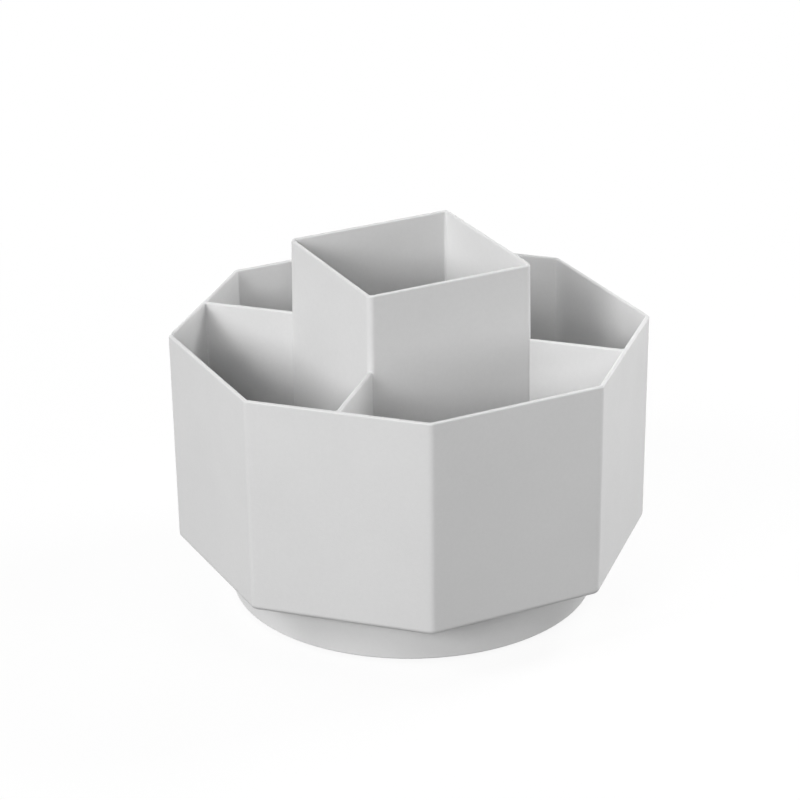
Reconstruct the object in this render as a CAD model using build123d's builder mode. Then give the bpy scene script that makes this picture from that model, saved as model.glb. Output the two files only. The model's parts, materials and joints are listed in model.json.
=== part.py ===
from build123d import *

import os
from math import cos, radians, sin, sqrt, tan

# Rotating pen holder: an eight-sided cup with a square tower, turning on a round base.
# Millimetres, +Z up. The origin is the centre of the surface that the feet stand on.
# The tower's faces look along X and Y, and the dividers run out along the diagonals.

os.makedirs("parts", exist_ok=True)

# Cup, dividers and tower, one moulding
cup_sides = 8
across_flats = 140.0
cup_height = 70.2
cup_wall = 1.4
floor_thickness = 2.4
divider_thickness = 1.3
tower_width = 56.0
tower_height = 94.9
tower_wall = 1.2
draft_angle = 0.5
cup_corner_radius = 3.0
tower_corner_radius = 2.0
underside_edge_radius = 1.8
well_corner_radius = 0.8
well_floor_radius = 0.6
rim_roundness = 0.48

# Base shell
base_radius = 58.2
base_height = 16.0
base_wall = 2.0
shoulder_thickness = 2.0
shoulder_edge_radius = 1.0
base_rim_radius = 0.5
seat_thickness = 2.2
running_gap = 0.8
rib_count = 8
rib_thickness = 1.6
rib_setback = 0.8

# Feet
foot_count = 4
foot_inset = 17.0
foot_radius = 5.5
foot_drop = 1.0
foot_pocket_depth = 1.2
foot_pocket_clearance = 0.2
foot_post_wall = 1.6
foot_edge_radius = 0.5

# Ball bearing
ball_count = 12
ball_radius = 2.5
shoulder_width = 9.25
race_width = 9.6
groove_depth = 1.2
groove_play = 0.15
ball_clearance = 0.04
lower_race_thickness = 2.6
race_seat_clearance = 0.1
locating_rib_width = 1.6
locating_rib_height = 1.4
upper_race_thickness = 3.6
plate_web_thickness = 2.0
plate_hub_wall = 2.0
plate_hub_clearance = 1.5
plate_rib_thickness = 1.2
plate_rim_gap = 0.8
cage_width = 6.4
cage_thickness = 1.4
collar_height = 2.0
collar_wall = 1.2
pocket_clearance = 0.12

# Screws that hold the upper race plate under the cup
plate_screw_count = 4
pad_inset = 4.0
plate_screw_radius = 1.4
plate_screw_head_radius = 2.8
plate_screw_length = 6.5
countersink_angle = 90.0
plate_slot_width = 0.7
plate_slot_length = 3.0
plate_slot_depth = 0.9
screw_hole_clearance = 0.2
thread_clearance = 0.05
boss_radius = 3.6
boss_length = 3.9
boss_clearance = 0.15
pad_wall = 1.4
pad_floor = 2.0

# Pivot
spigot_radius = 5.0
spigot_length = 6.6
spigot_root_radius = 1.0
pilot_floor = 0.8
pivot_thread_radius = 2.0
pivot_thread_length = 7.6
shoulder_radius = 3.0
shoulder_play = 0.05
pivot_head_radius = 5.2
pivot_head_height = 2.4
pivot_head_edge_radius = 0.8
head_gap = 0.1
cross_slot_width = 1.2
cross_slot_length = 5.2
cross_slot_depth = 1.4
bush_wall = 1.4
bush_seat_clearance = 0.05
bush_flange_width = 2.0
bush_flange_thickness = 1.0
flange_gap = 0.3
washer_radius = 6.6
washer_thickness = 1.0
washer_hole_clearance = 0.2
hub_length = 4.0
hub_wall = 2.2
hub_neck_wall = 2.2
head_pocket_clearance = 0.6

# Levels, from the standing surface up
base_rim_z = foot_drop
base_top_z = base_rim_z + base_height
cup_bottom_z = base_top_z + running_gap
floor_top_z = cup_bottom_z + floor_thickness
rim_z = cup_bottom_z + cup_height
tower_top_z = cup_bottom_z + tower_height

# Bearing stack, from the cup's underside down
upper_race_z = cup_bottom_z - upper_race_thickness
ball_z = upper_race_z + groove_depth - ball_clearance - ball_radius
lower_race_z = ball_z - ball_radius - ball_clearance + groove_depth
seat_z = lower_race_z - lower_race_thickness
seat_underside_z = seat_z - seat_thickness
groove_radius = ball_radius + groove_play

# Pivot stack, from the cup's spigot down
spigot_end_z = cup_bottom_z - spigot_length
hub_top_z = spigot_end_z - flange_gap - bush_flange_thickness
hub_seat_z = hub_top_z - hub_length
washer_z = hub_seat_z - washer_thickness
head_top_z = washer_z - head_gap
bush_bore_radius = shoulder_radius + shoulder_play
bush_radius = bush_bore_radius + bush_wall
head_pocket_radius = washer_radius + head_pocket_clearance
hub_radius = head_pocket_radius + hub_wall
hub_bore_radius = bush_radius + bush_seat_clearance
hub_neck_radius = hub_bore_radius + hub_neck_wall

# Cup plan, turned so that two walls are square to each axis
taper = tan(radians(draft_angle))
cup_turn = 180 / cup_sides
rim_apothem = across_flats / 2
underside_apothem = rim_apothem - cup_height * taper
divider_start = tower_width / sqrt(2) + divider_thickness

# Base section, from the outer wall inwards
base_top_radius = base_radius - base_height * taper
recess_radius = base_top_radius - shoulder_width
recess_wall_radius = recess_radius + base_wall
race_outer_radius = recess_radius - plate_rim_gap
race_pitch_radius = race_outer_radius - race_width / 2
race_inner_radius = race_outer_radius - race_width
seat_radius = race_outer_radius + race_seat_clearance
foot_circle_radius = base_radius - foot_inset
shoulder_underside_z = base_top_z - shoulder_thickness
shoulder_inner_radius = base_radius - base_wall - (shoulder_underside_z - base_rim_z) * taper
locating_rib_radius = race_inner_radius - race_seat_clearance
rib_bottom_z = base_rim_z + rib_setback
rib_overlap = 0.4 * base_wall

# Upper race plate
plate_hub_radius = spigot_radius + plate_hub_clearance
plate_web_width = race_pitch_radius - plate_hub_radius
plate_rib_length = race_inner_radius - plate_hub_radius
pad_radius = boss_radius + boss_clearance + pad_wall
pad_bottom_z = cup_bottom_z - boss_length - pad_floor
plate_screw_circle_radius = race_inner_radius - pad_inset - pad_radius

# Rim rounding, close to the half of the thinnest wall that would make a full round
rim_edge_radius = rim_roundness * min(cup_wall, tower_wall, divider_thickness)

# Height within which an edge counts as lying at a level
level_tolerance = 0.001


def radial_plane(angle):
    """Upright plane through the centre line, with its x axis pointing out at the angle."""
    out = (cos(radians(angle)), sin(radians(angle)), 0)
    return Plane(origin=(0, 0, 0), x_dir=out, z_dir=(out[1], -out[0], 0))


def is_upright(edge):
    """True for an edge that climbs, such as the corner edge of a tapered block."""
    box = edge.bounding_box()
    return box.size.Z > max(box.size.X, box.size.Y)


def edges_at(piece, level):
    """Edges of a piece that lie at one height."""
    return piece.edges().filter_by_position(Axis.Z, level - level_tolerance, level + level_tolerance)


def axis_distance(shape):
    """Distance of a shape's centre from the vertical centre line."""
    centre = shape.center()
    return sqrt(centre.X**2 + centre.Y**2)


# The hollows of the four side wells, wider at the rim than at the floor
with BuildPart() as side_wells:
    with BuildSketch(Plane.XY.offset(rim_z)):
        RegularPolygon(rim_apothem - cup_wall, cup_sides, major_radius=False, rotation=cup_turn)
        for divider_angle in (45, 135):
            Rectangle(2 * across_flats, divider_thickness, rotation=divider_angle, mode=Mode.SUBTRACT)
    extrude(amount=floor_top_z - rim_z, taper=draft_angle)
    fillet(side_wells.edges().filter_by(is_upright), well_corner_radius)

# The hollow of the tower
with BuildPart() as tower_well:
    with BuildSketch(Plane.XY.offset(tower_top_z)):
        Rectangle(tower_width - 2 * tower_wall, tower_width - 2 * tower_wall)
    extrude(amount=floor_top_z - tower_top_z, taper=draft_angle)
    fillet(tower_well.edges().filter_by(is_upright), well_corner_radius)
    fillet(tower_well.faces().sort_by(Axis.Z)[0].edges(), well_floor_radius)

# The tower's outside, wider at its root, which stands in the floor
tower_root_z = cup_bottom_z + floor_thickness / 2
tower_root_width = tower_width + 2 * (tower_top_z - tower_root_z) * taper
with BuildPart() as tower_block:
    with BuildSketch(Plane.XY.offset(tower_root_z)):
        Rectangle(tower_root_width, tower_root_width)
    extrude(amount=tower_top_z - tower_root_z, taper=draft_angle)
    fillet(tower_block.edges().filter_by(is_upright), tower_corner_radius)

# Cup, floor, dividers and tower, with a spigot and four screw bosses under the floor
with BuildPart() as organizer_cup:
    with BuildSketch(Plane.XY.offset(cup_bottom_z)):
        RegularPolygon(underside_apothem, cup_sides, major_radius=False, rotation=cup_turn)
    extrude(amount=cup_height, taper=-draft_angle)
    fillet(organizer_cup.edges().filter_by(is_upright), cup_corner_radius)
    fillet(organizer_cup.faces().sort_by(Axis.Z)[0].edges(), underside_edge_radius)
    add(side_wells.part, mode=Mode.SUBTRACT)
    add(tower_block.part)
    fillet(edges_at(organizer_cup, floor_top_z), well_floor_radius)
    add(tower_well.part, mode=Mode.SUBTRACT)
    fillet(edges_at(organizer_cup, tower_top_z), rim_edge_radius)
    rim_edges = edges_at(organizer_cup, rim_z)
    fillet(rim_edges.filter_by(lambda edge: axis_distance(edge) > divider_start), rim_edge_radius)
    # Spigot that turns in line with the base's hub
    with BuildSketch(Plane.XY.offset(cup_bottom_z)):
        Circle(spigot_radius)
    extrude(amount=-spigot_length)
    fillet(edges_at(organizer_cup, cup_bottom_z).filter_by(GeomType.CIRCLE), spigot_root_radius)
    with BuildSketch(Plane.XY.offset(spigot_end_z)):
        Circle(pivot_thread_radius + thread_clearance)
    extrude(amount=floor_top_z - pilot_floor - spigot_end_z, mode=Mode.SUBTRACT)
    # Bosses for the screws of the upper race plate
    with BuildSketch(Plane.XY.offset(cup_bottom_z)):
        with PolarLocations(plate_screw_circle_radius, plate_screw_count):
            Circle(boss_radius)
    extrude(amount=-boss_length)
    with BuildSketch(Plane.XY.offset(cup_bottom_z - boss_length)):
        with PolarLocations(plate_screw_circle_radius, plate_screw_count):
            Circle(plate_screw_radius + thread_clearance)
    extrude(amount=boss_length + floor_thickness - pilot_floor, mode=Mode.SUBTRACT)
organizer_cup.part.label = "organizer_cup"
export_step(organizer_cup.part, "parts/organizer_cup.step")

# Plate under the cup with the upper ball groove, fitted over the four bosses
with BuildPart() as upper_race_plate:
    with BuildSketch(Plane.XZ):
        with Locations((plate_hub_radius, cup_bottom_z)):
            Rectangle(plate_hub_wall, upper_race_thickness, align=(Align.MIN, Align.MAX))
            Rectangle(plate_web_width, plate_web_thickness, align=(Align.MIN, Align.MAX))
        with Locations((race_pitch_radius, cup_bottom_z)):
            Rectangle(race_width, upper_race_thickness, align=(Align.CENTER, Align.MAX))
        with Locations((race_pitch_radius, upper_race_z + groove_depth - groove_radius)):
            Circle(groove_radius, mode=Mode.SUBTRACT)
    revolve(axis=Axis.Z)
    for rib_number in range(rib_count):
        with BuildSketch(radial_plane((rib_number + 0.5) * 360 / rib_count)):
            with Locations((plate_hub_radius + plate_hub_wall / 2, cup_bottom_z)):
                Rectangle(plate_rib_length, upper_race_thickness, align=(Align.MIN, Align.MAX))
        extrude(amount=plate_rib_thickness / 2, both=True)
    with BuildSketch(Plane.XY.offset(pad_bottom_z)):
        with PolarLocations(plate_screw_circle_radius, plate_screw_count):
            Circle(pad_radius)
    extrude(amount=cup_bottom_z - pad_bottom_z)
    with BuildSketch(Plane.XY.offset(cup_bottom_z)):
        with PolarLocations(plate_screw_circle_radius, plate_screw_count):
            Circle(boss_radius + boss_clearance)
    extrude(amount=-boss_length, mode=Mode.SUBTRACT)
    with Locations(Plane(origin=(0, 0, pad_bottom_z), z_dir=(0, 0, -1))):
        with PolarLocations(plate_screw_circle_radius, plate_screw_count):
            CounterSinkHole(
                plate_screw_radius + screw_hole_clearance,
                plate_screw_head_radius,
                depth=pad_floor,
                counter_sink_angle=countersink_angle,
            )
upper_race_plate.part.label = "upper_race_plate"
export_step(upper_race_plate.part, "parts/upper_race_plate.step")

# Four countersunk screws, heads flush with the pads and tips in the bosses
head_cone_height = (plate_screw_head_radius - plate_screw_radius) / tan(radians(countersink_angle / 2))
screw_tip_z = pad_bottom_z + plate_screw_length
with BuildPart() as plate_screw:
    with BuildSketch(Plane.XZ):
        with BuildLine():
            Polyline(
                (0, pad_bottom_z),
                (plate_screw_head_radius, pad_bottom_z),
                (plate_screw_radius, pad_bottom_z + head_cone_height),
                (plate_screw_radius, screw_tip_z - plate_screw_radius),
                (0, screw_tip_z),
                close=True,
            )
        make_face()
    revolve(axis=Axis.Z)
    with BuildSketch(Plane.XY.offset(pad_bottom_z)):
        Rectangle(plate_slot_length, plate_slot_width)
        Rectangle(plate_slot_width, plate_slot_length)
    extrude(amount=plate_slot_depth, mode=Mode.SUBTRACT)

with BuildPart() as plate_screws:
    with PolarLocations(plate_screw_circle_radius, plate_screw_count):
        add(plate_screw.part)
plate_screws.part.label = "plate_screws"
export_step(plate_screws.part, "parts/plate_screws.step")

# Ring with the lower ball groove, seated in the base
with BuildPart() as lower_race_ring:
    with BuildSketch(Plane.XZ):
        with Locations((race_pitch_radius, seat_z)):
            Rectangle(race_width, lower_race_thickness, align=(Align.CENTER, Align.MIN))
        with Locations((race_pitch_radius, lower_race_z - groove_depth + groove_radius)):
            Circle(groove_radius, mode=Mode.SUBTRACT)
    revolve(axis=Axis.Z)
lower_race_ring.part.label = "lower_race_ring"
export_step(lower_race_ring.part, "parts/lower_race_ring.step")

# Cage with a collared pocket for each ball
pocket_radius = ball_radius + pocket_clearance
with BuildPart() as ball_cage:
    with BuildSketch(Plane.XY.offset(ball_z - cage_thickness / 2)):
        Circle(race_pitch_radius + cage_width / 2)
        Circle(race_pitch_radius - cage_width / 2, mode=Mode.SUBTRACT)
    extrude(amount=cage_thickness)
    with BuildSketch(Plane.XY.offset(ball_z - collar_height / 2)):
        with PolarLocations(race_pitch_radius, ball_count):
            Circle(pocket_radius + collar_wall)
    extrude(amount=collar_height)
    with BuildSketch(Plane.XY.offset(ball_z - collar_height / 2)):
        with PolarLocations(race_pitch_radius, ball_count):
            Circle(pocket_radius)
    extrude(amount=collar_height, mode=Mode.SUBTRACT)
ball_cage.part.label = "ball_cage"
export_step(ball_cage.part, "parts/ball_cage.step")

# Round base: drafted wall, shoulder, sunken bearing seat, hub and the ribs between them
with BuildPart() as base_shell:
    with BuildSketch(Plane.XZ):
        with BuildLine():
            Polyline(
                (hub_bore_radius, hub_seat_z),
                (head_pocket_radius, hub_seat_z),
                (head_pocket_radius, rib_bottom_z),
                (hub_radius, rib_bottom_z),
                (hub_radius, seat_underside_z),
                (recess_wall_radius, seat_underside_z),
                (recess_wall_radius, shoulder_underside_z),
                (shoulder_inner_radius, shoulder_underside_z),
                (base_radius - base_wall, base_rim_z),
                (base_radius, base_rim_z),
                (base_top_radius, base_top_z),
                (recess_radius, base_top_z),
                (recess_radius, lower_race_z),
                (seat_radius, lower_race_z),
                (seat_radius, seat_z),
                (locating_rib_radius, seat_z),
                (locating_rib_radius, seat_z + locating_rib_height),
                (locating_rib_radius - locating_rib_width, seat_z + locating_rib_height),
                (locating_rib_radius - locating_rib_width, seat_z),
                (hub_neck_radius, seat_z),
                (hub_neck_radius, hub_top_z),
                (hub_bore_radius, hub_top_z),
                close=True,
            )
        make_face()
    revolve(axis=Axis.Z)
    fillet(edges_at(base_shell, base_top_z).sort_by(SortBy.RADIUS)[-1], shoulder_edge_radius)
    fillet(edges_at(base_shell, base_rim_z), base_rim_radius)
    for rib_number in range(rib_count):
        with BuildSketch(radial_plane(rib_number * 360 / rib_count)):
            with BuildLine():
                Polyline(
                    (hub_radius - rib_overlap, rib_bottom_z),
                    (base_radius - base_wall + rib_overlap, rib_bottom_z),
                    (shoulder_inner_radius + rib_overlap, shoulder_underside_z + rib_overlap),
                    (recess_wall_radius - rib_overlap, shoulder_underside_z + rib_overlap),
                    (recess_wall_radius - rib_overlap, seat_underside_z + rib_overlap),
                    (hub_radius - rib_overlap, seat_underside_z + rib_overlap),
                    close=True,
                )
            make_face()
        extrude(amount=rib_thickness / 2, both=True)
    with BuildSketch(Plane.XY.offset(base_rim_z)):
        with PolarLocations(foot_circle_radius, foot_count, start_angle=45):
            Circle(foot_radius + foot_pocket_clearance + foot_post_wall)
    extrude(amount=seat_underside_z + rib_overlap - base_rim_z)
    with BuildSketch(Plane.XY.offset(base_rim_z)):
        with PolarLocations(foot_circle_radius, foot_count, start_angle=45):
            Circle(foot_radius + foot_pocket_clearance)
    extrude(amount=foot_pocket_depth, mode=Mode.SUBTRACT)
base_shell.part.label = "base_shell"
export_step(base_shell.part, "parts/base_shell.step")

# Flanged bush in the hub
with BuildPart() as pivot_bush:
    with BuildSketch(Plane.XY.offset(hub_seat_z)):
        Circle(bush_radius)
    extrude(amount=hub_length)
    with BuildSketch(Plane.XY.offset(hub_top_z)):
        Circle(bush_radius + bush_flange_width)
    extrude(amount=bush_flange_thickness)
    with BuildSketch(Plane.XY.offset(hub_seat_z)):
        Circle(bush_bore_radius)
    extrude(amount=hub_length + bush_flange_thickness, mode=Mode.SUBTRACT)
pivot_bush.part.label = "pivot_bush"
export_step(pivot_bush.part, "parts/pivot_bush.step")

# Washer under the hub
with BuildPart() as thrust_washer:
    with BuildSketch(Plane.XY.offset(washer_z)):
        Circle(washer_radius)
        Circle(shoulder_radius + washer_hole_clearance, mode=Mode.SUBTRACT)
    extrude(amount=washer_thickness)
thrust_washer.part.label = "thrust_washer"
export_step(thrust_washer.part, "parts/thrust_washer.step")

# Shoulder screw from below: head, running shoulder and thread core
head_bottom_z = head_top_z - pivot_head_height
thread_tip_z = spigot_end_z + pivot_thread_length
with BuildPart() as pivot_screw:
    with BuildSketch(Plane.XZ):
        with BuildLine():
            Polyline(
                (0, head_bottom_z),
                (pivot_head_radius, head_bottom_z),
                (pivot_head_radius, head_top_z),
                (shoulder_radius, head_top_z),
                (shoulder_radius, spigot_end_z),
                (pivot_thread_radius, spigot_end_z),
                (pivot_thread_radius, thread_tip_z - pivot_thread_radius / 2),
                (pivot_thread_radius / 2, thread_tip_z),
                (0, thread_tip_z),
                close=True,
            )
        make_face()
    revolve(axis=Axis.Z)
    fillet(edges_at(pivot_screw, head_bottom_z), pivot_head_edge_radius)
    with BuildSketch(Plane.XY.offset(head_bottom_z)):
        Rectangle(cross_slot_length, cross_slot_width)
        Rectangle(cross_slot_width, cross_slot_length)
    extrude(amount=cross_slot_depth, mode=Mode.SUBTRACT)
pivot_screw.part.label = "pivot_screw"
export_step(pivot_screw.part, "parts/pivot_screw.step")

# Steel balls, one in each pocket of the cage
for ball_number in range(ball_count):
    ball_angle = radians(ball_number * 360 / ball_count)
    with BuildPart() as bearing_ball:
        with Locations((race_pitch_radius * cos(ball_angle), race_pitch_radius * sin(ball_angle), ball_z)):
            Sphere(ball_radius)
    bearing_ball.part.label = f"bearing_ball_{ball_number + 1:02d}"
    export_step(bearing_ball.part, f"parts/{bearing_ball.part.label}.step")

# Rubber feet in the base's pockets
for foot_number in range(foot_count):
    foot_angle = radians(45 + foot_number * 360 / foot_count)
    with BuildPart() as rubber_foot:
        with BuildSketch(Plane.XY):
            with Locations((foot_circle_radius * cos(foot_angle), foot_circle_radius * sin(foot_angle))):
                Circle(foot_radius)
        extrude(amount=foot_drop + foot_pocket_depth)
        fillet(rubber_foot.faces().sort_by(Axis.Z)[0].edges(), foot_edge_radius)
    rubber_foot.part.label = f"rubber_foot_{foot_number + 1}"
    export_step(rubber_foot.part, f"parts/{rubber_foot.part.label}.step")
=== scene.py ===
import json
from math import atan2, ceil, cos, pi, radians, sin, sqrt, tan

import bpy
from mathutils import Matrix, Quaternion, Vector


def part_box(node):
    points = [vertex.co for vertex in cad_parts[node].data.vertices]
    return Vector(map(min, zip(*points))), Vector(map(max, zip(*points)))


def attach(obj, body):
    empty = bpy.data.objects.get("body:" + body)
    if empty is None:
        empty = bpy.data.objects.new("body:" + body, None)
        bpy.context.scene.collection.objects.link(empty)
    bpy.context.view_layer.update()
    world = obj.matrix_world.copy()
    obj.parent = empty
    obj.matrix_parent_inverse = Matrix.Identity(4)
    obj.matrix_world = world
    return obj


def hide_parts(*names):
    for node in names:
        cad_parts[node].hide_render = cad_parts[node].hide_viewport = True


# Rotating pen holder in light grey matt moulded plastic, standing on a pale studio floor.
# Metres, +Z up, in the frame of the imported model: the origin lies under the middle of the base.
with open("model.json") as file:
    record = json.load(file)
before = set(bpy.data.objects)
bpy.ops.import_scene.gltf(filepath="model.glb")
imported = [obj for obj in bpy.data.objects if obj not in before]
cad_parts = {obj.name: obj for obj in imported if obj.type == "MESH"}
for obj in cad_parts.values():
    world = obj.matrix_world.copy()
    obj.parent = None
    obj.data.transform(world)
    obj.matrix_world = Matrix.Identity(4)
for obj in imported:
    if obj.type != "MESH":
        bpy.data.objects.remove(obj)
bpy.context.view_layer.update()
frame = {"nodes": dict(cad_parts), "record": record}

# Camera, as the photograph was taken: a long lens from the front left, looking down on the rim
camera_azimuth = -26.6
camera_elevation = 23.855
camera_roll = -0.71
camera_distance = 0.9437
camera_target = (-0.00312, 0.00150, 0.06243)
camera_lens = 134.1
camera_nearest = 0.01
camera_furthest = 20.0

# Floor: the light that it sends up, its own white, and the share of it that shows as plain white,
# which grows to all of it between two distances from the middle
floor_size = 8.0
floor_bounce = 0.05
floor_white = 0.98
floor_glow = 0.90
floor_fade = (0.12, 0.35)

# Softboxes: azimuth and elevation in degrees, distance, and power in watts. Their width is a share
# of their distance.
lamp_target = (0.0, 0.0, 0.06)
lamp_spread = 0.3125
softboxes = {
    "key_front_left": (-60.0, 22.0, 1.6, 11.1),
    "fill_front_left": (-30.0, 22.0, 1.6, 5.3),
    "side_left": (-90.0, 22.0, 1.6, 4.6),
    "high_left": (-90.0, 40.0, 1.6, 8.6),
    "low_front_right": (30.0, 5.0, 0.6, 0.76),
    "high_front_right": (30.0, 40.0, 0.6, 0.37),
    "low_right": (90.0, 5.0, 1.6, 8.2),
    "high_right": (90.0, 40.0, 0.6, 1.72),
    "back_right": (150.0, 22.0, 1.6, 4.3),
    "back": (180.0, 5.0, 1.6, 17.8),
}

# Cup and tower, as moulded
cup_half_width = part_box("organizer_cup")[1].x
cup_rim_height = 0.088
tower_half_width = 0.028
tower_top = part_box("organizer_cup")[1].z
draft_angle = 0.5

# Where rubbed edges start to fade and where they end: below a rim, in from an outer wall of the cup,
# to each side of its corner, in from the point of a tower corner, and up from the floor on the base
# On the cup and tower these edges are painted lighter as wear and also as a painted highlight; on the base
# only as wear.
rim_wear_and_highlight = (0.0, 0.0006)
wall_wear_and_highlight = (0.0004, 0.0008)
corner_wear_and_highlight = (0.0003, 0.0012)
tower_wear_and_highlight = (0.0010, 0.0022)
base_wear = (0.0012, 0.0026)

# Grey moulded plastic: shades, the sizes of its marks, and what each mark adds or takes
organizer_shade = 0.655
base_shade = 0.69
plastic_refraction = 1.49
cloud_size = 0.030
cloud_tone = 0.009
fleck_size = 0.0012
fleck_tone = 0.006
# Patches of the rubbed marks, and how much lighter they paint: wear, and on the cup's rims and corners
# also a painted highlight
rub_and_highlight_patch_size = 0.006
rub_and_highlight_least = 0.35
rub_and_highlight_tone = 0.006
rub_polish = 0.04
matt_size = 0.018
matt_roughness = (0.57, 0.63)
haze_size = 0.0009
haze_roughness = 0.03
wave_size = 0.012
wave_depth = 0.000020
spark_size = 0.00040
spark_depth = 0.000016

# Acetal of the ball races
acetal_colours = ((0.82, 0.81, 0.765), (0.85, 0.84, 0.80))
acetal_cloud_size = 0.010
acetal_gloss_size = 0.004
acetal_roughness = (0.30, 0.42)
acetal_ring_spacing = 0.00035
acetal_ring_depth = 0.000002
acetal_grain_size = 0.0008
acetal_grain_depth = 0.000004

# Nylon of the ball cage
nylon_colours = ((0.77, 0.765, 0.72), (0.80, 0.80, 0.775))
nylon_cloud_size = 0.008
nylon_gloss_size = 0.003
nylon_roughness = (0.38, 0.52)
nylon_grain_size = 0.0006
nylon_grain_depth = 0.000006

# Zinc plating of the screws and the washer, bluish and yellowish
zinc_colours = ((0.58, 0.60, 0.65), (0.66, 0.63, 0.58))
zinc_tint_size = 0.0025
zinc_gloss_size = 0.0010
zinc_roughness = (0.24, 0.42)
zinc_dent_size = 0.0007
zinc_dent_depth = 0.000006
zinc_grain_size = 0.00015
zinc_grain_depth = 0.000001

# Steel of the balls
steel_colours = ((0.75, 0.75, 0.77), (0.78, 0.775, 0.77))
steel_tint_size = 0.0020
steel_grease_size = 0.0015
steel_roughness = (0.05, 0.16)
steel_grain_size = 0.0002
steel_grain_depth = 0.0000004

# Brass of the bush, tarnished and bright
brass_colours = ((0.72, 0.53, 0.25), (0.82, 0.65, 0.34))
brass_tarnish_size = 0.0015
brass_gloss_size = 0.0008
brass_roughness = (0.22, 0.36)
brass_ring_spacing = 0.00018
brass_ring_depth = 0.000003
brass_grain_size = 0.0003
brass_grain_depth = 0.000002

# Rubber of the feet, clean and dusty
rubber_colours = ((0.105, 0.105, 0.110), (0.165, 0.163, 0.160))
dust_patch_size = 0.0025
dust_speck_size = 0.0003
rubber_matt_size = 0.0010
rubber_roughness = (0.74, 0.92)
rubber_grain_size = 0.00025
rubber_grain_depth = 0.000012

# Textures: most of a noise lies between these values, and a wave of scale 1 repeats at this length
noise_range = (0.3, 0.7)
broad_detail = 1.0
noise_detail = 2.0
fine_detail = 3.0
finest_detail = 4.0
wave_length = 2 * pi / 20
ring_distortion = 0.6

# Screw threads: sides of the bar, steps in a turn, how far the shank stands in its head, and the shares
# of half a turn that the crest and then the flank take. Recesses narrow to a share of their width.
thread_sides = 32
thread_steps = 16
thread_overlap = 0.0002
crest_share = 0.06
flank_share = 0.50
recess_taper = 0.62

# Pivot screw
pivot_head_sides = 64
pivot_head_height = 0.0024
pivot_head_edge = 0.0008
pivot_edge_segments = 6
shoulder_radius = 0.0030
shoulder_length = 0.0064
pivot_thread_radius = 0.0020
pivot_root_radius = 0.0016
pivot_thread_pitch = 0.0010
pivot_tip_length = 0.0010
pivot_tip_taper = 0.55
pivot_recess_width = 0.0012
pivot_recess_length = 0.0050
pivot_recess_depth = 0.0015

# Plate screws
screw_count = 4
plate_head_sides = 48
plate_head_radius = 0.0028
plate_thread_radius = 0.0014
plate_root_radius = 0.00105
plate_thread_pitch = 0.0011
plate_tip_length = 0.0014
plate_tip_taper = 0.08
plate_recess_width = 0.0007
plate_recess_length = 0.0030
plate_recess_depth = 0.0010

# Rubber feet. A groove's radius is that of its outer side.
foot_count = 4
foot_sides = 64
foot_edge = 0.0005
foot_edge_segments = 5
foot_groove_radii = (0.0043, 0.0029, 0.0015)
foot_groove_width = 0.0005
foot_groove_depth = 0.00025

# Picking faces and edges, and smooth shading up to this angle in degrees
same_place = 0.000001
same_direction = 0.99
smooth_angle = 30.0


def direction_to(azimuth, elevation):
    """Unit vector from the object towards a place round it. Azimuth 0 is the front, -Y."""
    turn = radians(azimuth)
    lift = radians(elevation)
    return Vector((sin(turn) * cos(lift), -cos(turn) * cos(lift), sin(lift)))


def add_camera():
    """The camera at the photograph's angle."""
    back = direction_to(camera_azimuth, camera_elevation)
    place = Vector(camera_target) + camera_distance * back
    aim = (-back).to_track_quat("-Z", "Y") @ Quaternion((0, 0, 1), radians(camera_roll))
    bpy.ops.object.camera_add(location=place, rotation=aim.to_euler())
    camera = bpy.context.object
    camera.name = "photo_camera"
    camera.data.lens = camera_lens
    camera.data.clip_start = camera_nearest
    camera.data.clip_end = camera_furthest
    bpy.context.scene.camera = camera


def add_softbox(name, azimuth, elevation, distance, power):
    """A square soft lamp that points at the object, wider the further off it stands."""
    back = direction_to(azimuth, elevation)
    place = Vector(lamp_target) + distance * back
    aim = (-back).to_track_quat("-Z", "Y")
    bpy.ops.object.light_add(type="AREA", location=place, rotation=aim.to_euler())
    lamp = bpy.context.object
    lamp.name = name
    lamp.data.size = lamp_spread * distance
    lamp.data.energy = power


def shader_node(tree, kind, inputs=None, **settings):
    """A shader node with its settings and inputs. An input is a value or another node's output."""
    node = tree.nodes.new("ShaderNode" + kind)
    for name, value in settings.items():
        setattr(node, name, value)
    for name, value in (inputs or {}).items():
        if isinstance(value, bpy.types.NodeSocket):
            tree.links.new(value, node.inputs[name])
        else:
            node.inputs[name].default_value = value
    return node


def maths(tree, operation, first, second=0.0):
    """The result of one Math node on one or two values."""
    return shader_node(tree, "Math", {0: first, 1: second}, operation=operation).outputs[0]


def fade(tree, value, start, end):
    """1 where the value is at start or before it, and 0 from end on."""
    inputs = {"Value": value, "From Min": start, "From Max": end, "To Min": 1.0, "To Max": 0.0}
    return shader_node(tree, "MapRange", inputs, interpolation_type="SMOOTHSTEP").outputs[0]


def object_point(tree):
    """The place on the object, in metres."""
    return shader_node(tree, "TexCoord").outputs["Object"]


def seen_directly(tree):
    """1 where the camera, a reflection or clear material looks at a surface, and 0 for other light."""
    path = shader_node(tree, "LightPath")
    either = maths(tree, "MAXIMUM", path.outputs["Is Camera Ray"], path.outputs["Is Glossy Ray"])
    return maths(tree, "MAXIMUM", either, path.outputs["Is Transmission Ray"])


def add_world():
    """A white background that lights nothing. The softboxes do the lighting."""
    world = bpy.data.worlds.new("studio")
    bpy.context.scene.world = world
    world.use_nodes = True
    tree = world.node_tree
    tree.nodes.clear()
    backdrop = shader_node(tree, "Background", {"Color": (1, 1, 1, 1), "Strength": seen_directly(tree)})
    shader_node(tree, "OutputWorld", {"Surface": backdrop.outputs[0]})


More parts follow.
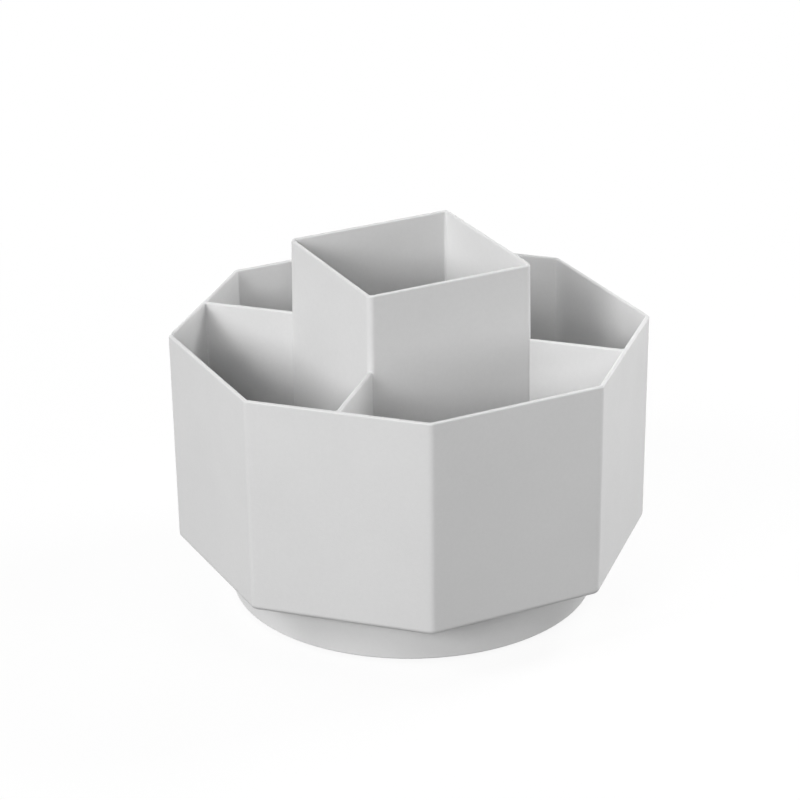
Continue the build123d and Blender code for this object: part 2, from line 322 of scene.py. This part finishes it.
def add_floor():
    """White paper floor that keeps a soft shadow and fades into the white backdrop further off."""
    bpy.ops.object.select_all(action="DESELECT")
    bpy.ops.mesh.primitive_plane_add(size=floor_size)
    floor = bpy.context.object
    floor.name = "floor"
    material = bpy.data.materials.new("white_paper")
    material.use_nodes = True
    tree = material.node_tree
    tree.nodes.clear()
    seen = seen_directly(tree)
    shade = shader_node(tree, "MapRange", {"Value": seen, "To Min": floor_bounce, "To Max": floor_white})
    paper = shader_node(tree, "BsdfDiffuse", {"Color": shade.outputs[0]})
    white = shader_node(tree, "Emission", {"Color": (1, 1, 1, 1), "Strength": 1.0})
    spread = shader_node(tree, "VectorMath", {0: object_point(tree)}, operation="LENGTH").outputs["Value"]
    near = fade(tree, spread, *floor_fade)
    glow = maths(tree, "SUBTRACT", 1.0, maths(tree, "MULTIPLY", near, 1 - floor_glow))
    share = maths(tree, "MULTIPLY", seen, glow)
    mix = shader_node(tree, "MixShader", {0: share, 1: paper.outputs[0], 2: white.outputs[0]})
    shader_node(tree, "OutputMaterial", {"Surface": mix.outputs[0]})
    floor.data.materials.append(material)


# Parts of a material


def new_material(name):
    """A material, its node tree and its surface shader."""
    material = bpy.data.materials.new(name)
    material.use_nodes = True
    tree = material.node_tree
    return material, tree, tree.nodes["Principled BSDF"]


def blotches(tree, point, size, low=0.0, high=1.0, detail=noise_detail):
    """Soft noise whose blotches are about this size, from low to high."""
    noise = shader_node(tree, "TexNoise", {"Vector": point, "Scale": 1 / size, "Detail": detail})
    darkest, lightest = noise_range
    levels = {"From Min": darkest, "From Max": lightest, "To Min": low, "To Max": high}
    return shader_node(tree, "MapRange", {"Value": noise.outputs[0], **levels}).outputs[0]


def turned_rings(tree, point, spacing):
    """Fine marks round the upright axis, as a lathe tool leaves them, from 0 to 1."""
    inputs = {"Vector": point, "Scale": wave_length / spacing}
    marks = {"Distortion": ring_distortion, "Detail": noise_detail}
    rings = {"wave_type": "RINGS", "rings_direction": "Z"}
    return shader_node(tree, "TexWave", {**inputs, **marks}, **rings).outputs[0]


def between(tree, share, first, second):
    """A colour on the way from the first to the second."""
    # Inputs 6 and 7 and output 2 are the ones that the Mix node uses for colours
    mix = shader_node(tree, "Mix", {0: share, 6: (*first, 1), 7: (*second, 1)}, data_type="RGBA")
    return mix.outputs[2]


def paint(tree, surface, colour):
    """Gives the surface its colour, or its grey shade."""
    tree.links.new(colour, surface.inputs["Base Color"])


def roughen(tree, surface, roughness):
    """Gives the surface its roughness."""
    tree.links.new(roughness, surface.inputs["Roughness"])


def relief(tree, surface, height, depth, below=None):
    """Raises the surface by height times depth, on top of any relief below it."""
    inputs = {"Height": height, "Distance": depth, "Strength": 1.0}
    if below:
        inputs["Normal"] = below
    bump = shader_node(tree, "Bump", inputs).outputs[0]
    tree.links.new(bump, surface.inputs["Normal"])
    return bump


def cup_rubbed_and_highlit(tree, point):
    """1 on the rims and the outer upright corners of the cup and tower, where hands and pens rub and where
    a highlight is painted.
    """
    place = shader_node(tree, "SeparateXYZ", {0: point})
    across = maths(tree, "ABSOLUTE", place.outputs[0])
    along = maths(tree, "ABSOLUTE", place.outputs[1])
    height = place.outputs[2]
    far = maths(tree, "MAXIMUM", across, along)
    slant = maths(tree, "DIVIDE", maths(tree, "ADD", across, along), sqrt(2))
    # Rims: the cup and dividers at one height, the tower above them
    below_tower = maths(tree, "SUBTRACT", tower_top, height)
    below_cup = maths(tree, "SUBTRACT", cup_rim_height, height)
    tower_rim = fade(tree, below_tower, *rim_wear_and_highlight)
    cup_rim = fade(tree, maths(tree, "ABSOLUTE", below_cup), *rim_wear_and_highlight)
    rims = maths(tree, "MAXIMUM", tower_rim, cup_rim)
    # Corners between the eight outer walls, where two of them are equally far out
    outermost = maths(tree, "MAXIMUM", far, slant)
    drafted = maths(tree, "MULTIPLY", below_cup, tan(radians(draft_angle)))
    inward = maths(tree, "SUBTRACT", cup_half_width, maths(tree, "ADD", outermost, drafted))
    off_corner = maths(tree, "ABSOLUTE", maths(tree, "SUBTRACT", far, slant))
    cup_walls = fade(tree, inward, *wall_wear_and_highlight)
    cup_corners = maths(tree, "MULTIPLY", cup_walls, fade(tree, off_corner, *corner_wear_and_highlight))
    # Corners of the tower, furthest out on the slant
    reach = maths(tree, "SUBTRACT", 2 * tower_half_width, maths(tree, "ADD", across, along))
    corners = maths(tree, "MAXIMUM", cup_corners, fade(tree, reach, *tower_wear_and_highlight))
    return maths(tree, "MAXIMUM", rims, corners)


def base_rubbed(tree, point):
    """1 on the edge by the floor, where the base is slid about."""
    height = shader_node(tree, "SeparateXYZ", {0: point}).outputs[2]
    return fade(tree, height, *base_wear)


# Materials


def moulded_plastic(name, shade, rubbed_and_highlit_places):
    """Grey plastic from a spark-eroded mould: cloudy pigment, matt grain, and smooth pale rubbed edges,
    which on the cup also carry a painted highlight.
    """
    material, tree, surface = new_material(name)
    point = object_point(tree)
    clouds = blotches(tree, point, cloud_size, -cloud_tone, cloud_tone, detail=fine_detail)
    flecks = blotches(tree, point, fleck_size, -fleck_tone, fleck_tone)
    rub_and_highlight_patches = blotches(tree, point, rub_and_highlight_patch_size, low=rub_and_highlight_least)
    rubbed_and_highlit = maths(tree, "MULTIPLY", rubbed_and_highlit_places(tree, point), rub_and_highlight_patches)
    tone = maths(tree, "ADD", shade, maths(tree, "ADD", clouds, flecks))
    # The rubbed places are painted lighter: wear, and on the cup's rims and corners also a painted
    # highlight.
    paint(tree, surface, maths(tree, "ADD", tone, maths(tree, "MULTIPLY", rubbed_and_highlit, rub_and_highlight_tone)))
    haze = blotches(tree, point, haze_size, -haze_roughness, haze_roughness)
    matt = maths(tree, "ADD", blotches(tree, point, matt_size, *matt_roughness), haze)
    roughen(tree, surface, maths(tree, "SUBTRACT", matt, maths(tree, "MULTIPLY", rubbed_and_highlit, rub_polish)))
    surface.inputs["IOR"].default_value = plastic_refraction
    waves = relief(tree, surface, blotches(tree, point, wave_size, detail=broad_detail), wave_depth)
    sparks = blotches(tree, point, spark_size, detail=fine_detail)
    relief(tree, surface, sparks, spark_depth, below=waves)
    return material


def acetal_plastic(name):
    """Natural white acetal of the ball races, with faint marks round the axis."""
    material, tree, surface = new_material(name)
    point = object_point(tree)
    clouds = blotches(tree, point, acetal_cloud_size)
    paint(tree, surface, between(tree, clouds, *acetal_colours))
    roughen(tree, surface, blotches(tree, point, acetal_gloss_size, *acetal_roughness))
    rings = relief(tree, surface, turned_rings(tree, point, acetal_ring_spacing), acetal_ring_depth)
    grain = blotches(tree, point, acetal_grain_size)
    relief(tree, surface, grain, acetal_grain_depth, below=rings)
    return material


def nylon_plastic(name):
    """Natural nylon of the ball cage, slightly yellow and waxy."""
    material, tree, surface = new_material(name)
    point = object_point(tree)
    clouds = blotches(tree, point, nylon_cloud_size)
    paint(tree, surface, between(tree, clouds, *nylon_colours))
    roughen(tree, surface, blotches(tree, point, nylon_gloss_size, *nylon_roughness))
    grain = blotches(tree, point, nylon_grain_size, detail=fine_detail)
    relief(tree, surface, grain, nylon_grain_depth)
    return material


def zinc_plated_steel(name):
    """Bright zinc on screws and washer: a little blue here and yellow there, with tumbling dents."""
    material, tree, surface = new_material(name)
    point = object_point(tree)
    surface.inputs["Metallic"].default_value = 1.0
    tints = blotches(tree, point, zinc_tint_size)
    paint(tree, surface, between(tree, tints, *zinc_colours))
    roughen(tree, surface, blotches(tree, point, zinc_gloss_size, *zinc_roughness))
    dents = relief(tree, surface, blotches(tree, point, zinc_dent_size), zinc_dent_depth)
    relief(tree, surface, blotches(tree, point, zinc_grain_size), zinc_grain_depth, below=dents)
    return material


def bearing_steel(name):
    """Polished balls with a thin uneven film of grease."""
    material, tree, surface = new_material(name)
    point = object_point(tree)
    surface.inputs["Metallic"].default_value = 1.0
    tints = blotches(tree, point, steel_tint_size)
    paint(tree, surface, between(tree, tints, *steel_colours))
    roughen(tree, surface, blotches(tree, point, steel_grease_size, *steel_roughness))
    relief(tree, surface, blotches(tree, point, steel_grain_size), steel_grain_depth)
    return material


def turned_brass(name):
    """Brass bush with lathe marks and slight tarnish."""
    material, tree, surface = new_material(name)
    point = object_point(tree)
    surface.inputs["Metallic"].default_value = 1.0
    tarnish = blotches(tree, point, brass_tarnish_size, detail=finest_detail)
    paint(tree, surface, between(tree, tarnish, *brass_colours))
    roughen(tree, surface, blotches(tree, point, brass_gloss_size, *brass_roughness))
    rings = relief(tree, surface, turned_rings(tree, point, brass_ring_spacing), brass_ring_depth)
    relief(tree, surface, blotches(tree, point, brass_grain_size), brass_grain_depth, below=rings)
    return material


def dusty_rubber(name):
    """Dark matt rubber with pale dust in its grain."""
    material, tree, surface = new_material(name)
    point = object_point(tree)
    patches = blotches(tree, point, dust_patch_size)
    dust = maths(tree, "MULTIPLY", patches, blotches(tree, point, dust_speck_size))
    paint(tree, surface, between(tree, dust, *rubber_colours))
    roughen(tree, surface, blotches(tree, point, rubber_matt_size, *rubber_roughness))
    grain = blotches(tree, point, rubber_grain_size, detail=fine_detail)
    relief(tree, surface, grain, rubber_grain_depth)
    return material


# Modelling. Each new piece is shaped on the turning axis and moved to its place at the end.


def select_only(piece):
    """Selects this piece alone and makes it the active one."""
    bpy.ops.object.select_all(action="DESELECT")
    piece.select_set(True)
    bpy.context.view_layer.objects.active = piece


def select_faces(direction, level):
    """In edit mode, selects the faces that look along a direction and lie at a height."""
    piece = bpy.context.object
    bpy.ops.mesh.select_mode(type="FACE")
    bpy.ops.mesh.select_all(action="DESELECT")
    bpy.ops.object.mode_set(mode="OBJECT")
    for face in piece.data.polygons:
        looks_along = face.normal.dot(Vector(direction)) > same_direction
        face.select = looks_along and abs(face.center.z - level) < same_place
    bpy.ops.object.mode_set(mode="EDIT")


def select_edges(wanted):
    """In edit mode, selects the edges whose two ends pass a test."""
    piece = bpy.context.object
    bpy.ops.mesh.select_mode(type="EDGE")
    bpy.ops.mesh.select_all(action="DESELECT")
    bpy.ops.object.mode_set(mode="OBJECT")
    points = piece.data.vertices
    for edge in piece.data.edges:
        edge.select = wanted(*[points[index].co for index in edge.vertices])
    bpy.ops.object.mode_set(mode="EDIT")


def add_bar(name, sides, radius, bottom, top):
    """A round bar on the axis, with its place in its mesh, left in edit mode."""
    bpy.ops.object.select_all(action="DESELECT")
    middle = (0, 0, (bottom + top) / 2)
    bpy.ops.mesh.primitive_cylinder_add(vertices=sides, radius=radius, depth=top - bottom, location=middle)
    bpy.ops.object.transform_apply(location=True, rotation=True, scale=True)
    bar = bpy.context.object
    bar.name = name
    bpy.ops.object.mode_set(mode="EDIT")
    return bar


def scale_across(ratio):
    """In edit mode, brings what is selected towards the axis, or away from it."""
    bpy.ops.transform.resize(value=(ratio, ratio, 1), center_override=(0, 0, 0))


def pull(rise):
    """In edit mode, extrudes the selected face straight up, or down where it is negative."""
    bpy.ops.mesh.extrude_region_move(TRANSFORM_OT_translate={"value": (0, 0, rise)})


def round_edge(radius, level, size, segments):
    """In edit mode, rounds the circular edge of this radius at this height."""
    def on_circle(end):
        return abs(end.z - level) < same_place and abs(end.xy.length - radius) < same_place
    select_edges(lambda first, second: on_circle(first) and on_circle(second))
    bpy.ops.mesh.bevel(offset=size, segments=segments, affect="EDGES")


def boolean(piece, tool, operation):
    """Adds the tool to a piece or cuts it away, and removes the tool."""
    select_only(piece)
    bpy.ops.object.modifier_add(type="BOOLEAN")
    modifier = piece.modifiers[-1]
    modifier.operation = operation
    modifier.solver = "EXACT"
    modifier.object = tool
    bpy.ops.object.modifier_apply(modifier=modifier.name)
    bpy.data.objects.remove(tool)


def cut_cross_recess(piece, mouth, width, length, depth):
    """Cuts a cross for the screwdriver up into a head, narrower at its bottom."""
    for turn in (0.0, pi / 2):
        bpy.ops.object.select_all(action="DESELECT")
        bpy.ops.mesh.primitive_cube_add(size=1, location=(0, 0, mouth))
        blade = bpy.context.object
        # It stands as far below the head as it cuts into it
        blade.scale = (length, width, 2 * depth)
        blade.rotation_euler.z = turn
        bpy.ops.object.transform_apply(location=True, rotation=True, scale=True)
        bpy.ops.object.mode_set(mode="EDIT")
        select_faces((0, 0, 1), mouth + depth)
        scale_across(recess_taper)
        bpy.ops.object.mode_set(mode="OBJECT")
        boolean(piece, blade, "DIFFERENCE")


def add_threaded_shank(bottom, top, crest, root, pitch):
    """A right-hand thread: a bar with a lobe on one side, twisted by a turn for each pitch."""
    shank = add_bar("shank", thread_sides, root, bottom, top)
    step = 2 * pi / thread_sides
    for column in range(thread_sides // 2):
        share = 1 - (column * step / pi - crest_share) / flank_share
        if share <= 0:
            break
        reach = root + (crest - root) * min(share, 1)

        def on_column(end):
            return abs(abs(atan2(end.y, end.x)) - column * step) < step / 4
        select_edges(lambda first, second: on_column(first) and on_column(second))
        scale_across(reach / root)
    select_edges(lambda first, second: abs(first.z - second.z) > same_place)
    turns = (top - bottom) / pitch
    bpy.ops.mesh.subdivide(number_cuts=ceil(turns * thread_steps) - 1)
    bpy.ops.object.mode_set(mode="OBJECT")
    bpy.ops.object.modifier_add(type="SIMPLE_DEFORM")
    twist = shank.modifiers[-1]
    twist.deform_method = "TWIST"
    twist.deform_axis = "Z"
    twist.angle = 2 * pi * turns
    bpy.ops.object.modifier_apply(modifier=twist.name)
    return shank


def point_shank(top, length, taper):
    """Draws the top of the shank on to a narrower tip."""
    bpy.ops.object.mode_set(mode="EDIT")
    select_faces((0, 0, 1), top)
    pull(length)
    scale_across(taper)
    bpy.ops.object.mode_set(mode="OBJECT")


def add_pivot_screw():
    """The shoulder screw from below: pan head with a cross recess, plain shoulder and threaded end."""
    low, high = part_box("pivot_screw")
    head_radius = high.x
    shoulder_start = low.z + pivot_head_height
    shank_start = shoulder_start + shoulder_length - thread_overlap
    shank_end = high.z - pivot_tip_length
    screw = add_bar("pivot_screw_threaded", pivot_head_sides, head_radius, low.z, shoulder_start)
    select_faces((0, 0, 1), shoulder_start)
    bpy.ops.mesh.inset(thickness=head_radius - shoulder_radius)
    pull(shoulder_length)
    round_edge(head_radius, low.z, pivot_head_edge, pivot_edge_segments)
    bpy.ops.object.mode_set(mode="OBJECT")
    cut_cross_recess(screw, low.z, pivot_recess_width, pivot_recess_length, pivot_recess_depth)
    thread = (pivot_thread_radius, pivot_root_radius, pivot_thread_pitch)
    shank = add_threaded_shank(shank_start, shank_end, *thread)
    point_shank(shank_end, pivot_tip_length, pivot_tip_taper)
    boolean(screw, shank, "UNION")
    return screw


def add_plate_screw():
    """A countersunk self-tapping screw, shaped on the axis."""
    low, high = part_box("plate_screws")
    cone_end = low.z + plate_head_radius - plate_thread_radius
    shank_start = cone_end - thread_overlap
    shank_end = high.z - plate_tip_length
    screw = add_bar("plate_screw_threaded_1", plate_head_sides, plate_head_radius, low.z, cone_end)
    select_faces((0, 0, 1), cone_end)
    scale_across(plate_thread_radius / plate_head_radius)
    bpy.ops.object.mode_set(mode="OBJECT")
    cut_cross_recess(screw, low.z, plate_recess_width, plate_recess_length, plate_recess_depth)
    thread = (plate_thread_radius, plate_root_radius, plate_thread_pitch)
    shank = add_threaded_shank(shank_start, shank_end, *thread)
    point_shank(shank_end, plate_tip_length, plate_tip_taper)
    boolean(screw, shank, "UNION")
    return screw


def add_rubber_foot():
    """A round foot with a rounded edge and three ring grooves in its tread, shaped on the axis."""
    low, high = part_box("rubber_foot_1")
    radius = (high.x - low.x) / 2
    foot = add_bar("rubber_foot_treaded_1", foot_sides, radius, low.z, high.z)
    round_edge(radius, low.z, foot_edge, foot_edge_segments)
    select_faces((0, 0, -1), low.z)
    reach = radius - foot_edge
    for groove_radius in foot_groove_radii:
        bpy.ops.mesh.inset(thickness=reach - groove_radius)
        pull(foot_groove_depth)
        bpy.ops.mesh.inset(thickness=foot_groove_width)
        pull(-foot_groove_depth)
        reach = groove_radius - foot_groove_width
    bpy.ops.object.mode_set(mode="OBJECT")
    return foot


def place_copies(first, name, places):
    """The first piece and copies of it, each with its own mesh, moved to their places."""
    copies = [first]
    for number in range(2, len(places) + 1):
        select_only(first)
        bpy.ops.object.duplicate(linked=False)
        copies.append(bpy.context.object)
        copies[-1].name = f"{name}_{number}"
    for copy, place in zip(copies, places):
        select_only(copy)
        bpy.ops.transform.translate(value=place)
        bpy.ops.object.transform_apply(location=True, rotation=True, scale=True)
    return copies


def finish_piece(piece, body, slot, *nodes):
    """Smooth shading and material, and the CAD nodes that the piece stands for."""
    select_only(piece)
    bpy.ops.object.shade_smooth_by_angle(angle=radians(smooth_angle))
    piece.data.materials.clear()
    piece.data.materials.append(materials[slot])
    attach(piece, body)
    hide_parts(*nodes)


add_camera()
add_world()
add_floor()
for softbox_name, softbox in softboxes.items():
    add_softbox(softbox_name, *softbox)

materials = {
    "organizer_plastic": moulded_plastic("organizer_grey_plastic", organizer_shade, cup_rubbed_and_highlit),
    "base_plastic": moulded_plastic("base_grey_plastic", base_shade, base_rubbed),
    "race_plastic": acetal_plastic("race_acetal"),
    "cage_plastic": nylon_plastic("cage_nylon"),
    "screw_steel": zinc_plated_steel("zinc_plated_steel"),
    "ball_steel": bearing_steel("bearing_steel"),
    "bush_brass": turned_brass("turned_brass"),
    "foot_rubber": dusty_rubber("dark_foot_rubber"),
}
for subpart in frame["record"]["subparts"]:
    node = frame["nodes"][subpart["node"]]
    node.data.materials.clear()
    node.data.materials.append(materials[subpart["material_slot"]])

finish_piece(add_pivot_screw(), "organizer", "screw_steel", "pivot_screw")

screw_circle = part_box("plate_screws")[1].x - plate_head_radius
screw_turns = [2 * pi * number / screw_count for number in range(screw_count)]
screw_places = [(screw_circle * cos(turn), screw_circle * sin(turn), 0) for turn in screw_turns]
for screw in place_copies(add_plate_screw(), "plate_screw_threaded", screw_places):
    finish_piece(screw, "organizer", "screw_steel", "plate_screws")

foot_nodes = [f"rubber_foot_{number}" for number in range(1, foot_count + 1)]
foot_places = []
for foot_node in foot_nodes:
    foot_low, foot_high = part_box(foot_node)
    foot_places.append(((foot_low.x + foot_high.x) / 2, (foot_low.y + foot_high.y) / 2, 0))
feet = place_copies(add_rubber_foot(), "rubber_foot_treaded", foot_places)
for foot, foot_node in zip(feet, foot_nodes):
    finish_piece(foot, "base", "foot_rubber", foot_node)

bpy.context.scene.view_settings.view_transform = "Standard"
